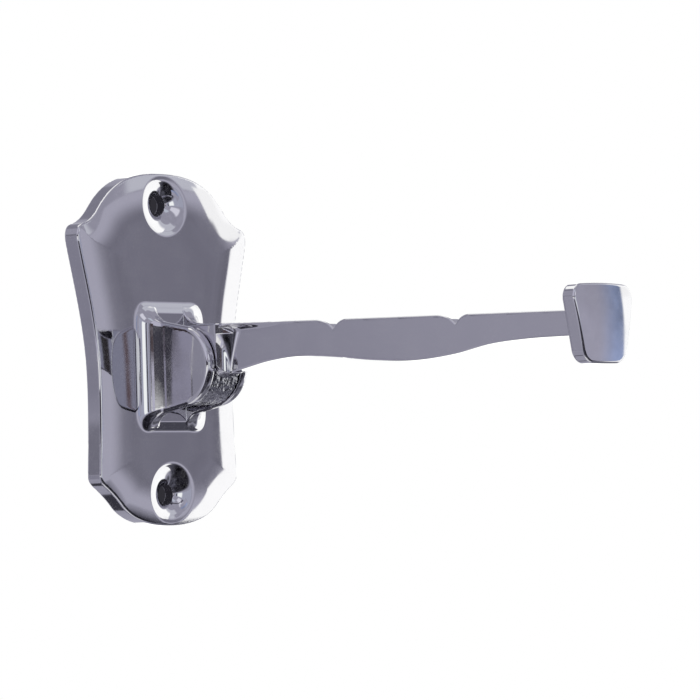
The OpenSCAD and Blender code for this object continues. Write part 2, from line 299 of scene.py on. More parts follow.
@dataclass(frozen=True)
class ChromePlate:
    """Bright chromium over nickel: a cool mirror that shows each wave and pit of the metal under it."""

    name: str
    surface: Surface
    tint: str = "#c3c2c9"
    gloss_loss: float = 0.035
    haze: float = 0.05
    smear_mm: float = 7.0
    smear_span: Span = (0.45, 0.75)
    wave_mm: float = 16.0
    wave_height_mm: float = 0.035
    pit_mm: float = 0.7
    pit_height_mm: float = 0.0005
    dust: float = 0.05
    dust_mm: float = 0.45
    dust_span: Span = (0.22, 0.4)

    def build(self) -> Material:
        """Builds the node material.

        Returns:
            The finished material.
        """
        material, tree, output = new_material(self.name)
        place = add_node(tree, "ShaderNodeTexCoord").outputs["Object"]

        def noise(size_mm: float, detail: float, roughness: float = 0.5) -> Any:
            """Adds a noise texture with patches of a given size."""
            return add_node(tree, "ShaderNodeTexNoise", Vector=place, Scale=1 / (size_mm * MM), Detail=detail,
                            Roughness=roughness)

        # The smears of a polished part cloud the mirror in patches a few millimetres wide
        smear = noise(self.smear_mm, 4.0, 0.6)
        cloud = add_node(tree, "ShaderNodeMapRange", Value=smear.outputs["Fac"], From_Min=self.smear_span[0],
                         From_Max=self.smear_span[1], To_Min=self.gloss_loss,
                         To_Max=self.gloss_loss + self.haze)
        waves, pits = noise(self.wave_mm, 1.0), noise(self.pit_mm, 3.0)
        wave_bump = add_node(tree, "ShaderNodeBump", Strength=1.0, Distance=self.wave_height_mm * MM,
                             Height=waves.outputs["Fac"])
        pit_bump = add_node(tree, "ShaderNodeBump", Strength=1.0, Distance=self.pit_height_mm * MM,
                            Height=pits.outputs["Fac"], Normal=wave_bump.outputs["Normal"])
        # Fine dust lies where the smears hold it, and greys the mirror by a few hundredths
        specks = noise(self.dust_mm, 2.0, 0.7)
        lying = calculate(tree, "MULTIPLY", smear.outputs["Fac"], specks.outputs["Fac"])
        bare = add_node(tree, "ShaderNodeMapRange", Value=lying, From_Min=self.dust_span[0],
                        From_Max=self.dust_span[1], To_Min=1.0, To_Max=1.0 - self.dust)
        metal = add_node(tree, "ShaderNodeBsdfPrincipled", Base_Color=linear(self.tint),
                         Metallic=bare.outputs["Result"], Roughness=cloud.outputs["Result"],
                         Normal=pit_bump.outputs["Normal"])
        tree.links.new(metal.outputs["BSDF"], output.inputs["Surface"])
        log.info("%s: %s", self.name, self.surface.value)
        return material


PLATE_CHROME = ChromePlate("chrome_plate_buffed_plate", Surface.BUFFED)
ARM_CHROME = ChromePlate("chrome_plate_buffed_arm", Surface.BUFFED)
# The as-cast skin is rough and grained for real; its tint is darker than the buffed chrome's as painted shade
# under the knuckle between the ears
CAST_CHROME_SHADED = ChromePlate("chrome_plate_as_cast_painted_shade", Surface.AS_CAST, tint="#8f8f98", gloss_loss=0.1, haze=0.12,
                          pit_mm=0.9, pit_height_mm=0.3, dust=0.02)
PIN_CHROME = ChromePlate("chrome_plate_turned_pin", Surface.TURNED, gloss_loss=0.1, wave_height_mm=0.0)


@dataclass
class PlateOutline:
    """The plate's shield outline: cubic curves for its right half, from the crown's top to the bottom."""

    height: float
    shoulder_w: float = 59.0
    waist_w: float = 46.6
    foot_w: float = 47.8
    shoulder_drop: float = 14.2
    foot_rise: float = 11.0
    waist_low: float = 5.5
    samples: int = 200
    coarse_step: int = 20
    batch: int = 20000
    line: Array = field(init=False)

    def __post_init__(self) -> None:
        """Draws the outline once, finely."""
        top, s, w, f = self.height / 2, self.shoulder_w / 2, self.waist_w / 2, self.foot_w / 2
        sz, fz = top - self.shoulder_drop, self.foot_rise - top
        wz = (sz + fz) / 2 - self.waist_low
        knots = [
            (0, top), (10, top), (s - 13.5, top - 2), (s - 8.5, top - 7.8),
            (s - 7.3, top - 9.2), (s - 5.5, sz + 2.4), (s - 2.1, sz + 1.5),
            (s - 0.6, sz + 1.1), (s + 0.25, sz), (s - 0.15, sz - 2.8),
            (s - 2.5, sz - 13), (w + 0.3, wz + 12), (w, wz),
            (w - 0.2, wz - 8), (f - 0.4, fz + 8.5), (f, fz + 1.5),
            (f + 0.1, fz + 0.1), (f - 0.6, fz - 0.7), (f - 1.6, fz - 1.4),
            (f - 3.3, fz - 2.5), (f - 5.6, fz - 4.2), (f - 7.7, fz - 6.4),
            (f - 11.1, fz - 9.6), (7, -top), (0, -top),
        ]
        t = np.linspace(0, 1, self.samples, endpoint=False)[:, None]
        curves = [np.array(knots[i:i + 4], float) for i in range(0, len(knots) - 1, 3)]
        shares = ((1 - t) ** 3, 3 * t * (1 - t) ** 2, 3 * t * t * (1 - t), t ** 3)
        parts = [sum(share * knot for share, knot in zip(shares, curve)) for curve in curves]
        self.line = np.concatenate(parts + [np.array([[0, -top]])])

    def distance(self, x: Array, up: Array) -> Array:
        """Measures how far points lie outside the outline.

        Args:
            x: Across the plate.
            up: Up from the plate's middle.

        Returns:
            Signed distances, negative inside.
        """
        spots = np.stack((np.abs(x), up), 1)
        coarse = self.line[::self.coarse_step]
        nearest = np.empty(len(spots), np.int64)
        # The nearest point is found coarsely in batches, to save memory, and then in finer steps around it
        for begin in range(0, len(spots), self.batch):
            part = spots[begin:begin + self.batch]
            gap = ((part[:, None] - coarse[None]) ** 2).sum(2)
            nearest[begin:begin + self.batch] = gap.argmin(1) * self.coarse_step
        for stride in (5, 1):
            tries = np.clip(nearest[:, None] + stride * np.arange(-4, 5), 0, len(self.line) - 1)
            gap = ((spots[:, None] - self.line[tries]) ** 2).sum(2)
            nearest = tries[np.arange(len(spots)), gap.argmin(1)]
        best, signed = np.full(len(spots), np.inf), np.zeros(len(spots))
        for shift in (-1, 0):
            start = np.clip(nearest + shift, 0, len(self.line) - 2)
            a, along = self.line[start], self.line[start + 1] - self.line[start]
            share = np.clip(((spots - a) * along).sum(1) / (along ** 2).sum(1), 0, 1)
            gap = spots - a - share[:, None] * along
            length = np.hypot(gap[:, 0], gap[:, 1])
            side = np.where(gap[:, 1] * along[:, 0] - gap[:, 0] * along[:, 1] >= 0, 1, -1)
            signed = np.where(length < best, side * length, signed)
            best = np.minimum(best, length)
        return signed


@dataclass(frozen=True)
class EarForm:
    """The ears' round ends, which the arm's knuckle follows: where their centre lies, and their sizes."""

    out: float = 15.0
    up: float = -4.6
    radius: float = 9.7
    over: float = 14.2
    slot: float = 9.4


@dataclass
class BackPlate:
    """The wall plate and its two ears: one casting, buffed and plated.

    The face falls by crown toward the rim, over a width of crown_w. The hollow root of the ears has its own
    radius beside, above and below them, and changes from root_top to root_foot over twice root_turn.
    """

    outline: PlateOutline
    hole_pitch: float
    hole_r: float
    ears: EarForm
    thick: float = 5.4
    web: float = 0.6
    crown: float = 0.95
    crown_w: float = 16.5
    crown_power: float = 3.1
    rim_r: float = 0.45
    back_r: float = 0.25
    ear_flare: float = math.radians(11)
    ear_edge: float = 1.3
    ear_arch: float = 0.7
    slot_edge: float = 0.45
    root_side: float = 5.4
    root_top: float = 4.5
    root_foot: float = 3.9
    root_power: float = 3.2
    root_turn: float = 4.0
    sink_r: float = 5.1
    lip_r: float = 2.2
    step: float = 0.36
    quick_step: float = 0.6

    def face(self, edge: Array) -> Array:
        """Gives how far the face stands off the wall, less toward the rim, from distances to the outline."""
        near_rim = np.clip(1 + edge / self.crown_w, 0, 1)
        return self.thick - self.crown * near_rim ** self.crown_power

    def clevis(self, points: Array) -> Array:
        """Measures the block that both ears are cut from: round at its end, wider toward the plate.

        Args:
            points: Places in (x, out, up).

        Returns:
            Signed distances.
        """
        out = points[:, 1] - self.ears.out
        half = self.ears.over / 2
        arch = self.ear_arch * (points[:, 0] / half) ** 2 * np.clip(-out / (self.ears.out - self.thick), 0, 1)
        up = np.abs(points[:, 2] - self.ears.up) + arch
        away = math.cos(self.ear_flare) * out - math.sin(self.ear_flare) * up
        flank = math.sin(self.ear_flare) * out + math.cos(self.ear_flare) * up
        side = np.where(away > 0, np.hypot(out, up), flank) - self.ears.radius
        return round_cut(side, np.abs(points[:, 0]) - half, self.ear_edge)

    def root(self, points: Array) -> tuple[Array, Array]:
        """Measures the ears as their hollow root sees them, squarer at the corners than they are.

        Args:
            points: Places in (x, out, up).

        Returns:
            Signed distances, and the root's radius at each point: widest beside the ears.
        """
        across = np.abs(points[:, 0]) - self.ears.over / 2 + self.ear_edge
        flank = self.clevis(points * (0, 1, 1)) + self.ear_edge
        p = self.root_power
        beyond = (np.clip(across, 0, None) ** p + np.clip(flank, 0, None) ** p) ** (1 / p)
        square = beyond + np.minimum(np.maximum(across, flank), 0) - self.ear_edge
        rise = (points[:, 2] - self.ears.up + self.root_turn) / (2 * self.root_turn)
        end = self.root_foot + (self.root_top - self.root_foot) * np.clip(rise, 0, 1)
        beside = np.clip(across, 0, None) ** 2
        share = beside / (beside + np.clip(flank, 0, None) ** 2 + TINY)
        radius = end + (self.root_side - end) * share
        return square, radius

    def shape(self, points: Array) -> Array:
        """Measures the whole casting.

        Args:
            points: Places in (x, out, up).

        Returns:
            Signed distances.
        """
        x, out, up = points.T
        edge = self.outline.distance(x, up)
        slab = round_cut(edge, out - self.face(edge), self.rim_r)
        metal = np.minimum(round_join(slab, *self.root(points)), self.clevis(points))
        slot = np.minimum(self.ears.slot / 2 - np.abs(x), out - self.thick - self.web)
        metal = round_cut(metal, slot, self.slot_edge)
        for sign in (1, -1):
            off = np.hypot(x, up - sign * self.hole_pitch / 2)
            # The countersink's sides stand at 45 degrees
            sink = (self.sink_r + out - self.thick - off) * math.sqrt(0.5)
            metal = round_cut(metal, sink, self.lip_r)
            metal = np.maximum(metal, self.hole_r - off)
        return round_cut(metal, -out, self.back_r)

    def build(self) -> Object:
        """Makes the dressed casting.

        Returns:
            The finished object.
        """
        half_w, half_h = self.outline.shoulder_w / 2, self.outline.height / 2
        reach = self.ears.out + self.ears.radius
        skin = lay_net(self.shape, (-half_w, 0, -half_h), (half_w, reach, half_h), self.step)
        piece = mesh_from(skin, "plate_casting")
        keep_true_normals(piece)
        piece.data.materials.append(PLATE_CHROME.build())
        return piece


@dataclass
class HookArm:
    """The arm: knuckle, notched blade and end block in one casting.

    Places on it are measured forward of the pin and up from it. The flare widens the blade's upper edge
    toward the knuckle, the cove is the hollow under it, and cast gives where the skin is left rough and
    tinted darker: real grain, with painted shade under the knuckle between the ears.
    """

    pin_out: float
    pin_up: float
    reach: float
    ears: EarForm
    thick: float = 3.4
    edge_r: float = 0.4
    root_top: float = 8.8
    top_fall: float = 2.9
    dip: float = 0.5
    dip_end: float = 8.0
    knuckle_w: float = 8.8
    back_r: float = 8.7
    heel_back: float = 8.9
    heel_h: float = 8.5
    nose_recess: float = 0.3
    shoulder_at: float = 11.8
    shoulder_edge: float = 2.5
    shoulder_fillet: float = 0.5
    shoulder_hollow: float = 3.2
    hollow_from: float = -3.0
    hollow_span: float = 9.0
    hollow_power: float = 1.5
    blade_from: float = 3.0
    front_top: float = 12.0
    barrel_edge: float = 0.35
    flare_end: float = 34.0
    flare_depth: float = 0.3
    flare_root: float = 1.0
    flare_power: float = 2.5
    flare_cove: float = 2.3
    flare_inset: float = 0.05
    flare_thin: float = 0.3
    flare_edge: float = 0.45
    flare_root_at: float = 10.0
    flare_root_span: float = 6.0
    cove_least: float = 0.15
    cove_power: float = 0.7
    cove_back: float = 0.5
    cove_span: float = 2.5
    notches: tuple[float, ...] = (44.8, 82.1)
    notch_back: float = 5.5
    notch_front: float = 3.9
    notch_depth: float = 2.1
    block_h: float = 18.2
    block_top_w: float = 22.4
    block_foot_w: float = 14.2
    block_t: float = 4.4
    block_top_r: float = 3.6
    block_foot_r: float = 2.8
    block_rise: float = 11.8
    block_arch: float = 0.5
    block_edge: float = 0.6
    block_bow: float = 0.5
    block_fillet: float = 1.4
    cast_depth: float = 0.6
    cast_from: float = -6.0
    cast_from_span: float = 2.0
    cast_to: float = 11.5
    cast_to_span: float = 1.5
    grain: tuple[tuple[str, float], ...] = (
        ("Height", 0.6 * MM), ("Grain", 1.4 * MM), ("Seed", 4.0), ("Rough", 1.0),
    )
    grain_level: float = 0.62
    samples: int = 200
    step: float = 0.25
    quick_step: float = 0.45
    tip: float = field(init=False)
    low_line: Array = field(init=False)

    def __post_init__(self) -> None:
        """Draws the lower edge once: hollow behind the first notch, a belly, then thin toward the tip."""
        self.tip = self.reach - self.pin_out
        drawn = 125.0
        knots = np.array([
            (-6, -6.7), (7, -4.3), (16, -2.45), (24, -1.05), (33, -0.4), (44, -1.05), (57, -2.45),
            (69, -3.05), (81, -2.2), (92, -0.4), (103, 0.25), (113, 0.3), (124, 0.2), (136, 0.2),
        ]) * (self.tip / drawn, 1)
        rows = []
        for a, b, c, e in zip(knots, knots[1:], knots[2:], knots[3:]):
            t = np.linspace(0, 1, self.samples, endpoint=False)
            width = c[0] - b[0]
            leave, arrive = (c[1] - a[1]) / (c[0] - a[0]) * width, (e[1] - b[1]) / (e[0] - b[0]) * width
            up = ((2 * t ** 3 - 3 * t * t + 1) * b[1] + (t ** 3 - 2 * t * t + t) * leave
                  + (3 * t * t - 2 * t ** 3) * c[1] + (t ** 3 - t * t) * arrive)
            rows.append(np.stack((b[0] + t * width, up), 1))
        self.low_line = np.concatenate(rows)

    def low(self, out: Array) -> Array:
        """Gives the height of the lower edge above the pin at a distance forward of it."""
        return np.interp(out, self.low_line[:, 0], self.low_line[:, 1])

    def top(self, out: Array) -> Array:
        """Gives the height of the upper edge above the pin, without the notches."""
        fall = self.top_fall * out / self.tip
        return self.root_top - fall - self.dip * np.clip(1 - out / self.dip_end, 0, None) ** 2

    def under_top(self, out: Array, up: Array) -> Array:
        """Measures how far points lie above the notched upper edge.

        Args:
            out: Forward of the pin.
            up: Up from the pin.

        Returns:
            Signed distances: each notch is two round shoulders that meet in a V.
        """
        above = up - self.top(out)
        for place in self.notches:
            shoulders = []
            for side, width in ((-1, self.notch_back), (1, self.notch_front)):
                radius = (width ** 2 + self.notch_depth ** 2) / (2 * self.notch_depth)
                off = np.hypot(out - place - side * width, above + radius) - radius
                shoulders.append(off)
            inside = (out > place - self.notch_back) & (out < place + self.notch_front)
            above = np.where(inside, np.minimum(*shoulders), above)
        return above

    def flat(self, x: Array, out: Array, up: Array) -> Array:
        """Measures the flat of the blade, without an upper edge, in distances from the pin."""
        sides = round_cut(np.abs(x) - self.thick / 2, self.low(out) - up, self.edge_r)
        return np.maximum(sides, np.maximum(self.blade_from - out, out - self.tip + 0.5 * self.block_t))

    def flange(self, x: Array, out: Array, up: Array) -> tuple[Array, Array]:
        """Measures the flange along the blade's root, which narrows until it ends in the blade.

        Args:
            x: Across the arm.
            out: Forward of the pin.
            up: Up from the pin.

        Returns:
            Signed distances, and the radius of the cove under the flange at each point.
        """
        share = np.clip((self.flare_end - out) / (self.flare_end - self.shoulder_at), 0, 1)
        spread = (self.knuckle_w - self.thick) / 2 - self.flare_inset
        half = self.thick / 2 + spread * share ** self.flare_power - self.flare_thin * (1 - share)
        near_root = np.clip(1 - (out - self.flare_root_at) / self.flare_root_span, 0, 1)
        deep = self.flare_depth + self.flare_root * near_root ** 2
        flange = round_cut(np.abs(x) - half, self.top(out) - deep - up, self.flare_edge)
        ends = np.maximum(self.shoulder_at - 1 - out, out - self.tip + 0.5 * self.block_t)
        clear = np.clip((out - self.shoulder_at + self.cove_back) / self.cove_span, 0, 1)
        return np.maximum(flange, ends), self.cove_least + self.flare_cove * share ** self.cove_power * clear

    def knuckle(self, x: Array, out: Array, up: Array) -> Array:
        """Measures the knuckle: its back round about the pin, its lower front round about the ears' centre.

        Args:
            x: Across the arm.
            out: Forward of the pin.
            up: Up from the pin.

        Returns:
            Signed distances.
        """
        rise = up - self.ears.up + self.pin_up
        back = np.hypot(out, up) - self.back_r
        nose = np.hypot(out, rise) - self.ears.radius + self.nose_recess
        nose = np.maximum(np.maximum(nose, rise), -self.heel_back - out)
        heel = np.maximum(np.maximum(-self.heel_back - out, out), np.maximum(-self.heel_h - up, up))
        front = np.maximum(np.maximum(out - self.shoulder_at, up - self.front_top),
                           np.maximum(self.low(out) - up, -out))
        wide = np.abs(x) - self.knuckle_w / 2
        barrel = round_cut(wide, np.minimum(np.minimum(back, nose), heel), self.barrel_edge)
        return np.minimum(barrel, round_cut(wide, front, self.shoulder_edge))

    def block(self, x: Array, out: Array, up: Array) -> Array:
        """Measures the keystone block at the tip, with a face that is bowed toward its edges.

        Args:
            x: Across the arm.
            out: Forward of the pin.
            up: Up from the pin.

        Returns:
            Signed distances.
        """
        half_top, half_foot = self.block_top_w / 2, self.block_foot_w / 2
        foot = self.block_rise - self.block_h
        lean = (half_top - half_foot) / self.block_h
        arch = self.block_arch * (x / half_top) ** 2
        side = (np.abs(x) - half_foot - lean * (up - foot)) / math.hypot(1, lean)
        front = round_cut(side, up - self.block_rise + arch, self.block_top_r)
        front = round_cut(front, foot + arch - up, self.block_foot_r)
        off_middle = (up - foot - self.block_h / 2) / (0.5 * self.block_h)
        bow = self.block_bow * ((x / half_top) ** 2 + off_middle ** 2)
        through = np.maximum(out - self.tip + bow, self.tip - self.block_t - out)
        return round_cut(front, through, self.block_edge)

    def shape(self, points: Array) -> Array:
        """Measures the whole casting.

        Args:
            points: Places in (x, out, up).

        Returns:
            Signed distances.
        """
        x, out, up = points[:, 0], points[:, 1] - self.pin_out, points[:, 2] - self.pin_up
        knuckle = self.knuckle(x, out, up)
        rise = np.clip((up - self.hollow_from) / self.hollow_span, 0, 1)
        hollow = self.shoulder_fillet + self.shoulder_hollow * rise ** self.hollow_power
        metal = round_join(self.flat(x, out, up), knuckle, hollow)
        metal = round_join(metal, *self.flange(x, out, up))
        metal = round_cut(metal, self.under_top(out, up), self.edge_r)
        return round_join(metal, self.block(x, out, up), self.block_fillet)

    def rough_and_shade_share(self, points: Array) -> Array:
        """Gives how rough and dark the skin is: the knuckle's lower front, between the ears, is left as cast,
        tinted darker as painted shade.

        Args:
            points: Places in (x, out, up).

        Returns:
            A share from 0, buffed, to 1, as cast and darkened by painted shade.
        """
        out, up = points[:, 1] - self.pin_out, points[:, 2] - self.pin_up
        below = np.clip((self.low(out) + self.cast_depth - up) / self.cast_depth, 0, 1)
        behind = np.clip((out - self.cast_from) / self.cast_from_span, 0, 1)
        return below * behind * np.clip((self.cast_to - out) / self.cast_to_span, 0, 1)

    def grain_tree(self, rough: Material) -> NodeTree:
        """Builds the tree that raises the grain of the sand mould on the rough skin.

        Args:
            rough: Material of the rough skin, its tint darker as painted shade.

        Returns:
            A tree with the named inputs Height, Grain, Seed and Rough, where Rough scales the height.
        """
        tree = bpy.data.node_groups.new("cast_grain", "GeometryNodeTree")
        face = tree.interface
        face.new_socket("Geometry", in_out="INPUT", socket_type="NodeSocketGeometry")
        for name, value in self.grain:
            face.new_socket(name, in_out="INPUT", socket_type="NodeSocketFloat").default_value = value
        face.new_socket("Geometry", in_out="OUTPUT", socket_type="NodeSocketGeometry")
        given = tree.nodes.new("NodeGroupInput")
        result = tree.nodes.new("NodeGroupOutput")
        share = add_node(tree, "GeometryNodeInputNamedAttribute", {"data_type": "FLOAT"}, Name="rough_and_shade_share")
        scale = calculate(tree, "DIVIDE", 1.0, given.outputs["Grain"])
        noise = add_node(tree, "ShaderNodeTexNoise", {"noise_dimensions": "4D"}, W=given.outputs["Seed"],
                         Scale=scale, Detail=2.0, Roughness=0.55)
        height = calculate(tree, "SUBTRACT", noise.outputs["Fac"], self.grain_level)
        for factor in (given.outputs["Height"], share.outputs["Attribute"], given.outputs["Rough"]):
            height = calculate(tree, "MULTIPLY", height, factor)
        way = tree.nodes.new("GeometryNodeInputNormal")
        offset = add_node(tree, "ShaderNodeVectorMath", {"operation": "SCALE"}, i0=way.outputs[0],
                          Scale=height)
        moved = add_node(tree, "GeometryNodeSetPosition", Geometry=given.outputs["Geometry"],
                         Offset=offset.outputs[0])
        real = add_node(tree, "GeometryNodeRealizeInstances", Geometry=moved.outputs[0])
        where = add_node(tree, "FunctionNodeCompare", {"data_type": "FLOAT", "operation": "GREATER_THAN"},
                         i0=share.outputs["Attribute"], i1=0.5)
        dressed = add_node(tree, "GeometryNodeSetMaterial", Geometry=real.outputs[0],
                           Selection=where.outputs[0], Material=rough)
        tree.links.new(dressed.outputs[0], result.inputs[0])
        return tree

    def build(self) -> Object:
        """Makes the dressed casting.

        Returns:
            The finished object.
        """
        half = self.block_top_w / 2
        low = (-half, self.pin_out - self.heel_back, self.ears.up - self.ears.radius)
        high = (half, self.reach, self.pin_up + self.block_rise)
        skin = lay_net(self.shape, low, high, self.step)
        blank = mesh_from(skin, "arm_blank")
        share = self.rough_and_shade_share(skin.points).astype(np.float32)
        blank.data.attributes.new("rough_and_shade_share", "FLOAT", "POINT").data.foreach_set("value", share)
        blank.data.materials.append(ARM_CHROME.build())
        # The rough material's darker tint paints shade under the knuckle, between the ears
        tree = self.grain_tree(CAST_CHROME_SHADED.build())
        grain = blank.modifiers.new("cast_grain", "NODES")
        grain.node_group = tree
        sockets = {item.name: item.identifier for item in tree.interface.items_tree if item.in_out == "INPUT"}
        for name, value in self.grain:
            grain[sockets[name]] = value
        mesh = bpy.data.meshes.new_from_object(blank.evaluated_get(bpy.context.evaluated_depsgraph_get()))
        bpy.data.objects.remove(blank)
        piece = add_object("arm_casting", mesh)
        rough = np.empty(len(mesh.vertices), np.float32)
        mesh.attributes["rough_and_shade_share"].data.foreach_get("value", rough)
        keep_true_normals(piece, rough)
        return piece


@dataclass
class PivotPin:
    """The pin, pressed through both ears, its ends buffed over with them."""

    radius: float
    length: float
    pin_out: float
    pin_up: float
    sunk: float = 0.04
    chamfer: float = 0.3
    sides: int = 64
    sharp_from: float = math.radians(30)

    def build(self) -> Object:
        """Makes the dressed pin.

        Returns:
            The finished object.
        """
        half = self.length / 2 - self.sunk
        profile = [(-half, 0), (-half, self.radius - self.chamfer), (self.chamfer - half, self.radius),
                   (half - self.chamfer, self.radius), (half, self.radius - self.chamfer), (half, 0)]
        points, faces = [], []
        for along, radius in profile:
            for k in range(self.sides if radius else 1):
                turn = 2 * math.pi * k / self.sides
                points.append((along * MM, (-self.pin_out + radius * math.cos(turn)) * MM,
                               (self.pin_up + radius * math.sin(turn)) * MM))
        rings = [range(1 + i * self.sides, 1 + (i + 1) * self.sides) for i in range(4)]
        last = len(points) - 1
        for k in range(self.sides):
            n = (k + 1) % self.sides
            faces.append((0, rings[0][n], rings[0][k]))
            faces.append((last, rings[3][k], rings[3][n]))
            for a, b in zip(rings, rings[1:]):
                faces.append((a[k], a[n], b[n], b[k]))
        mesh = bpy.data.meshes.new("pin")
        mesh.from_pydata(points, [], faces)
        mesh.materials.append(PIN_CHROME.build())
        mesh.shade_smooth()
        mesh.set_sharp_from_angle(angle=self.sharp_from)
        return add_object("pin", mesh)


@dataclass(frozen=True)
class Card:
    """A studio card or soft box that only the metal sees, as a patch of a sphere round the hook.

    Turn is measured from straight in front of the plate, positive to the right, and tilt up from level, both
    in degrees. Colour is what the card gives off and strength scales it, where 1 is paper white. Fade is how
    many degrees its left, right, lower and upper edges take to fade out, and radius is in metres.
    """

    name: str
    turn: Span
    tilt: Span
    colour: str
    strength: float = 1.0
    fade: tuple[float, float, float, float] = (1.0, 1.0, 1.0, 1.0)
    radius: float = 2.0
    mottle: float = 0.0
    lean: float = 0.0
    mottle_grain: float = 4.5
    mottle_span: Span = (0.3, 0.7)
    columns: int = 97
    rows: int = 65

    def net(self) -> Mesh:
        """Makes the card's mesh.

        Returns:
            The mesh, with an attribute that says how much the card covers at each point.
        """
        turns = np.radians(np.linspace(*self.turn, self.columns))
        tilts = np.radians(np.linspace(*self.tilt, self.rows))
        points, cover = [], []
        for tilt in tilts:
            for turn in turns:
                bent = turn + self.lean * (tilt - tilts[-1])
                way = (math.sin(bent) * math.cos(tilt), -math.cos(bent) * math.cos(tilt), math.sin(tilt))
                points.append([self.radius * w for w in way])
                left, right = math.degrees(turn) - self.turn[0], self.turn[1] - math.degrees(turn)
                foot, head = math.degrees(tilt) - self.tilt[0], self.tilt[1] - math.degrees(tilt)
                shares = [min(1.0, gap / wide) for gap, wide in zip((left, right, foot, head), self.fade)]
                cover.append(math.prod(s * s * (3 - 2 * s) for s in (max(0.0, s) for s in shares)))
        n = len(turns)
        faces = [(i * n + j, i * n + j + 1, (i + 1) * n + j + 1, (i + 1) * n + j)
                 for i in range(len(tilts) - 1) for j in range(n - 1)]
        mesh = bpy.data.meshes.new(self.name)
        mesh.from_pydata(points, [], faces)
        mesh.attributes.new("cover", "FLOAT", "POINT").data.foreach_set("value", cover)
        return mesh

    def emitter(self) -> Material:
        """Makes the material that glows in the card's colour, as much as the card covers.

        Returns:
            The finished material.
        """
        material, tree, output = new_material(self.name + "_cloth")
        clear = add_node(tree, "ShaderNodeBsdfTransparent")
        place = add_node(tree, "ShaderNodeTexCoord").outputs["Object"]
        blotch = add_node(tree, "ShaderNodeTexNoise", Vector=place, Scale=self.mottle_grain / self.radius,
                          Detail=5.0, Roughness=0.65)
        power = add_node(tree, "ShaderNodeMapRange", Value=blotch.outputs["Fac"],
                         From_Min=self.mottle_span[0], From_Max=self.mottle_span[1],
                         To_Min=self.strength * (1 - self.mottle), To_Max=self.strength * (1 + self.mottle))
        glow = add_node(tree, "ShaderNodeEmission", Color=linear(self.colour),
                        Strength=power.outputs["Result"])
        share = add_node(tree, "ShaderNodeAttribute", {"attribute_name": "cover"})
        mix = add_node(tree, "ShaderNodeMixShader", i0=share.outputs["Fac"], i1=clear.outputs[0],
                       i2=glow.outputs[0])
        tree.links.new(mix.outputs[0], output.inputs["Surface"])
        return material

    def build(self) -> Object:
        """Makes the card.

        Returns:
            The card's object, hidden from camera, diffuse and shadow rays.
        """
        card = add_object(self.name, self.net())
        card.data.materials.append(self.emitter())
        card.visible_camera = False
        card.visible_diffuse = False
        card.visible_shadow = False
        return card


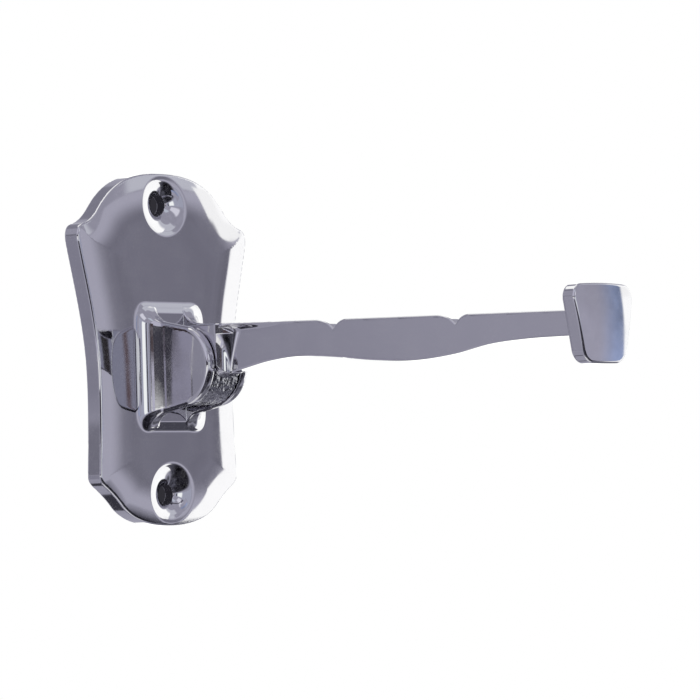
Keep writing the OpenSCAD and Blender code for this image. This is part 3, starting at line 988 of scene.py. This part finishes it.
@dataclass
class Studio:
    """Floor, background, lamps, cards and camera.

    Angles are in degrees, and the picture's size and the part's origin in it are in pixels.
    """

    floor_z: float = -0.3
    floor_half: float = 5.0
    fill: float = 0.75
    lamp_size: float = 1.2
    camera_turn: float = -46.5
    camera_tilt: float = -2.345
    camera_roll: float = 1.63
    camera_range: float = 1.24
    lens: float = 263.6
    sensor: float = 36.0
    sight: float = 60.0
    picture: float = 700.0
    origin_x: float = 153.1
    origin_y: float = 350.28
    cards: tuple[Card, ...] = (
        Card("room", (-255, 110), (-62, 75), "#b8b7c4", 1.0, (1, 1, 1, 1), 8.1, 0.08),
        Card("room_behind_side", (-148, -128.5), (-24, 5), "#a3a2b0", 1.0, (3, 5, 5, 4), 7.8, 0.1),
        Card("room_behind_foot", (-142, -127), (3.3, 11), "#8d8c98", 1.0, (4, 3, 1.0, 4), 7.7, 0.2),
        Card("room_left_front", (-116, -51), (-22, 62), "#cdccd9", 1.25, (6, 0.6, 4, 6), 7.8),
        Card("room_front", (-46.6, 28), (-9, 12), "#c8cbda", 1.0, (0.4, 8, 3, 4), 7.8),
        Card("room_right_low", (60, 112), (-56, -28), "#7b7b84", 1.0, (8, 4, 5, 6), 7.8, 0.5),
        Card("dark_low", (-98, 66), (-75, -9), "#54545d", 1.0, (14, 16, 6, 4), 7.6, 0.9),
        Card("dark_core", (-40, 52), (-48, -11), "#2b2a31", 1.0, (16, 12, 14, 4), 7.5, 0.9),
        Card("dark_ring_low", (-216, -148), (-47.6, -44.4), "#45444d", 1.0, (6, 6, 0.6, 0.6), 7.5),
        Card("grey_ring_high", (-216, -139), (36, 47), "#9a99a6", 1.0, (4, 5, 4, 0.8), 7.5),
        Card("box_behind_high", (-232, -122), (48.5, 78), "#fefff8", 1.65, (4, 6, 0.8, 2), 7.2),
        Card("box_behind_right", (-246, -222), (-24, 36), "#fefff8", 1.65, (2, 1.5, 4, 4), 7.2),
        Card("dark_left", (-118, -65), (1.5, 6.8), "#4c4b54", 1.0, (5, 0.4, 0.08, 1.6), 7.2, 0.3),
        Card("brown_left", (-65.4, -51.3), (1.98, 16), "#574b4c", 1.0, (0.4, 0.3, 0.08, 5), 7.15, 0.3),
        Card("box_left_low", (-112, -64.8), (-9, 1.66), "#fcfdf6", 1.3, (5, 0.4, 4, 0.06), 7.3, 0.2),
        Card("box_left_near", (-51, -46.7), (-9, 1.66), "#fcfdf6", 1.3, (0.3, 0.3, 4, 0.06), 7.3, 0.2),
        Card("photographer", (-51.3, -46.7), (1.52, 14), "#54535c", 1.0, (0.3, 0.4, 0.08, 4), 7.1),
        Card("box_left_high", (-52, -14), (30, 54), "#e3eaf4", 1.0, (5, 8, 5, 4), 7.2),
        Card("streak", (-43.4, -40.6), (-12, 12), "#8d7877", 1.0, (1.2, 1.2, 4, 4), 7.2),
        Card("sliver", (-33.6, -28.4), (-6, 10), "#3f3b39", 1.0, (0.8, 0.8, 2, 3), 7.2),
        Card("box_front", (-26, -7), (-8, 9), "#fbfff8", 1.6, (1.5, 4, 3, 3), 7.2),
        Card("wall_ahead", (24, 55.4), (-9.6, 13), "#cfcedb", 1.0, (3, 0.8, 1.2, 0.8), 7.2),
        Card("grey_ahead", (31.5, 55.2), (-6.5, 11), "#8a8995", 1.0, (12, 0.6, 5, 5), 6.9, 0.25),
        Card("box_top", (58, 92), (13, 25), "#fefff8", 1.65, (5, 3, 0.8, 4), 6.6),
        Card("box_top_grey", (40, 64), (12.6, 26), "#e9ebf2", 1.0, (3, 4, 0.8, 4), 6.65),
        Card("box_top_high", (30, 95), (23, 40), "#e9ebf2", 1.0, (5, 5, 2, 3), 6.7),
        Card("box_top_left", (-22, 14), (11, 30), "#f4f4fb", 1.2, (5, 6, 4, 6), 6.6),
        Card("box_right", (54.9, 98), (-27, 32), "#fefff8", 1.75, (0.7, 3, 5, 7), 6.6),
        Card("box_right_low", (54.6, 66), (-13, 0.5), "#fefff8", 1.75, (0.7, 2, 2, 1.5), 6.3, 0.0, 0.52),
        Card("box_right_high", (53, 62), (7, 15), "#fefff8", 1.6, (0.5, 3, 1, 1), 6.55),
        Card("near_grey", (4, 18), (-8, 13), "#bdbcca", 1.0, (1.5, 1, 2, 2), 0.181, 0.15),
        Card("near_blue", (12, 18.4), (-7, 11), "#a9b8da", 1.0, (5, 0.6, 2, 2), 0.18, 0.5),
    )

    def build_floor(self) -> None:
        """Makes the pale floor, which the metal doesn't mirror."""
        mesh = bpy.data.meshes.new("floor")
        half = self.floor_half
        corners = ((-half, -half), (half, -half), (half, half), (-half, half))
        mesh.from_pydata([(x, y, self.floor_z) for x, y in corners], [], [(0, 1, 2, 3)])
        material, tree, output = new_material("studio_floor_paper")
        paper = add_node(tree, "ShaderNodeBsdfDiffuse", Color=linear("#f4f4f4"))
        tree.links.new(paper.outputs[0], output.inputs["Surface"])
        mesh.materials.append(material)
        floor = add_object("floor", mesh)
        floor.visible_glossy = False

    def build_painted_hole_shades(self, pitch: float, radius: float) -> None:
        """Closes each screw hole's far end with a disc that glows a flat dark grey: painted shade, as dark as
        the photograph shows the holes.

        Args:
            pitch: Distance between the holes.
            radius: Radius of the holes.
        """
        sides, behind = 48, 0.3
        turns = [2 * math.pi * k / sides for k in range(sides)]
        hole_shade_material, tree, output = new_material("painted_hole_shade")
        # Painted shade: the disc glows a flat dark grey where the hole holds only shade, and no cloth is
        # there
        emitter = add_node(tree, "ShaderNodeEmission", Color=linear("#313036"), Strength=1.0)
        tree.links.new(emitter.outputs[0], output.inputs["Surface"])
        for name, up in (("painted_shade_high", pitch / 2), ("painted_shade_low", -pitch / 2)):
            ring = [(radius * MM * math.cos(turn), -behind * MM, (up + radius * math.sin(turn)) * MM)
                    for turn in turns]
            mesh = bpy.data.meshes.new(name)
            mesh.from_pydata(ring, [], [tuple(range(sides))])
            mesh.materials.append(hole_shade_material)
            back = add_object(name, mesh)

    def build_world(self) -> None:
        """Makes the background: plain white where it is seen or mirrored, softer where it only lights."""
        world = bpy.data.worlds.new("studio_white")
        bpy.context.scene.world = world
        world.use_nodes = True
        tree = world.node_tree
        tree.nodes.clear()
        path = tree.nodes.new("ShaderNodeLightPath")
        seen = calculate(tree, "MAXIMUM", path.outputs["Is Camera Ray"], path.outputs["Is Glossy Ray"])
        seen = calculate(tree, "MAXIMUM", seen, path.outputs["Is Transmission Ray"])
        strength = add_node(tree, "ShaderNodeMapRange", Value=seen, To_Min=self.fill, To_Max=1.0)
        back = add_node(tree, "ShaderNodeBackground", Color=(1, 1, 1, 1), Strength=strength.outputs["Result"])
        output = tree.nodes.new("ShaderNodeOutputWorld")
        tree.links.new(back.outputs[0], output.inputs["Surface"])

    def build_lamps(self) -> None:
        """Hangs two large soft lamps, which the metal doesn't mirror."""
        lamps = (("lamp_over", (0.3, -0.5, 1.4), 8.0), ("lamp_left", (-1.3, -0.7, 0.7), 5.0))
        for name, place, power in lamps:
            lamp = bpy.data.lights.new(name, "AREA")
            lamp.size = self.lamp_size
            lamp.energy = power
            holder = add_object(name, lamp)
            holder.location = place
            holder.rotation_euler = (-Vector(place)).to_track_quat("-Z", "Y").to_euler()
            holder.visible_glossy = False

    def build_camera(self) -> None:
        """Sets the camera where the photograph was taken from, so that the part lands in the same place."""
        turn, tilt = math.radians(self.camera_turn), math.radians(self.camera_tilt)
        place = self.camera_range * Vector((math.sin(turn) * math.cos(tilt), -math.cos(turn) * math.cos(tilt),
                                            math.sin(tilt)))
        ahead = -place.normalized()
        right = ahead.cross(Vector((0, 0, 1))).normalized()
        over = right.cross(ahead)
        roll = math.radians(self.camera_roll)
        right, over = (math.cos(roll) * right - math.sin(roll) * over,
                       math.sin(roll) * right + math.cos(roll) * over)
        focal = self.lens / self.sensor * self.picture
        across, down = self.origin_x - self.picture / 2, self.origin_y - self.picture / 2
        # The camera turns until the origin falls on its own place in the picture
        target = (ahead * focal - right * across + over * down).normalized()
        side = target.cross(over).normalized()
        camera = bpy.data.cameras.new("camera")
        camera.lens = self.lens
        camera.sensor_width = self.sensor
        camera.clip_end = self.sight
        holder = add_object("camera", camera)
        holder.matrix_world = (Matrix.Translation(place)
                               @ Matrix((side, side.cross(target), -target)).transposed().to_4x4())
        bpy.context.scene.camera = holder

    def build(self) -> None:
        """Sets up the whole studio."""
        bpy.context.scene.view_settings.view_transform = "Standard"
        self.build_camera()
        self.build_floor()
        self.build_world()
        self.build_lamps()
        for card in self.cards:
            card.build()


def mount(name: str) -> dict[str, Any]:
    """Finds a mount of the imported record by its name."""
    return next(m for m in frame["record"]["mounts"] if m["name"] == name)


def settle(piece: Object, body: str, node: str) -> None:
    """Ties a finished piece to its body and hides the solid that it stands for.

    Args:
        piece: Finished object.
        body: Body that it moves with.
        node: Solid that it replaces.
    """
    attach(piece, body)
    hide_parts(node)
    log.info("%s: %d faces, on %s", piece.name, len(piece.data.polygons), body)


def main() -> None:
    """Builds the hook and its studio."""
    logging.basicConfig(level=logging.INFO, format="%(message)s")
    studio = Studio()
    studio.build()
    holes = mount("screw_holes")["dims"]
    studio.build_painted_hole_shades(holes["spacing_y_mm"], holes["hole_r_mm"])
    joint = frame["joints"][0]
    pin_out, pin_up = -joint["pos_m"][1] / MM, joint["pos_m"][2] / MM
    plate_low, plate_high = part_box("backplate")
    arm_low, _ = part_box("arm")
    pin_low, pin_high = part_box("pivot_pin")

    outline = PlateOutline(height=(plate_high.z - plate_low.z) / MM)
    ears = EarForm()
    plate = BackPlate(outline, holes["spacing_y_mm"], holes["hole_r_mm"], ears)
    arm = HookArm(pin_out, pin_up, -arm_low.y / MM, ears)
    settle(plate.build(), "wall_plate", "backplate")
    settle(arm.build(), "hook_arm", "arm")
    pin = PivotPin((pin_high.z - pin_low.z) / 2 / MM, (pin_high.x - pin_low.x) / MM, pin_out, pin_up)
    settle(pin.build(), "wall_plate", "pivot_pin")


if __name__ == "__main__":
    main()
